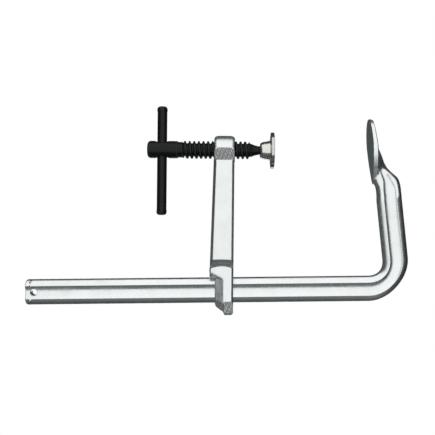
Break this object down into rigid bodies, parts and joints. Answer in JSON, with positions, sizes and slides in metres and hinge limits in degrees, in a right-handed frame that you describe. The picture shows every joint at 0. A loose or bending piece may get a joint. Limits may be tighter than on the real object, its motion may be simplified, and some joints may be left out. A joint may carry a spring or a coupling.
{
  "type": "sliding arm bar clamp",
  "caption": "All-steel C-clamp of the sliding-arm bar type: lobed rail bent into a fixed jaw, rocking sliding arm, screw spindle with tommy bar and swivel pad.",
  "frame": {"origin": "centre of the hanging hole at the rail's free end", "axes": "+X along the rail towards the fixed jaw, +Z from the rail towards the jaws, +Y through the hanging hole, away from the side the clamp is seen from"},
  "size_m": [0.3304, 0.0312, 0.1805],
  "materials": {
    "bright_steel": "satin bright-plated forging, a little worn",
    "black_oxide_steel": "oiled black oxide, semi-gloss",
    "zinc_casting": "matt passivated casting",
    "nickel_plate": "smooth nickel plate",
    "spring_steel": "drawn wire"
  },
  "bodies": {
    "rail": {"rail_with_fixed_jaw": "bright_steel"},
    "arm": {"sliding_arm": "bright_steel"},
    "ball_ring": {"pad_retaining_ring": "spring_steel"},
    "screw": {"spindle": "black_oxide_steel"},
    "handle": {"tommy_bar": "black_oxide_steel"},
    "pad": {"pad_socket": "zinc_casting", "pad_disc": "nickel_plate"}
  },
  "joints": [
    {"name": "arm_slide", "type": "slide", "parent": "rail", "child": "arm", "axis": [1, 0, 0], "range_m": [-0.149, 0.052]},
    {"name": "spindle_feed", "type": "slide", "parent": "arm", "child": "ball_ring", "axis": [0.9998, 0, -0.0204], "range_m": [-0.02, 0.026]},
    {"name": "spindle_turn", "type": "hinge", "parent": "ball_ring", "child": "screw", "pos_m": [0.20136, 0, 0.12022], "axis": [0.9998, 0, -0.0204], "range_deg": [-1800, 2340]},
    {"name": "tommy_bar_slide", "type": "slide", "parent": "screw", "child": "handle", "axis": [0.0204, 0, 0.9998], "range_m": [-0.026, 0.045]},
    {"name": "pad_tilt", "type": "hinge", "parent": "ball_ring", "child": "pad", "pos_m": [0.20136, 0, 0.12022], "axis": [0, 1, 0], "range_deg": [-7, 7]}
  ],
  "couplings": [
    {"joint": "spindle_feed", "follows": "spindle_turn", "m_per_rad": 0.00063662}
  ]
}
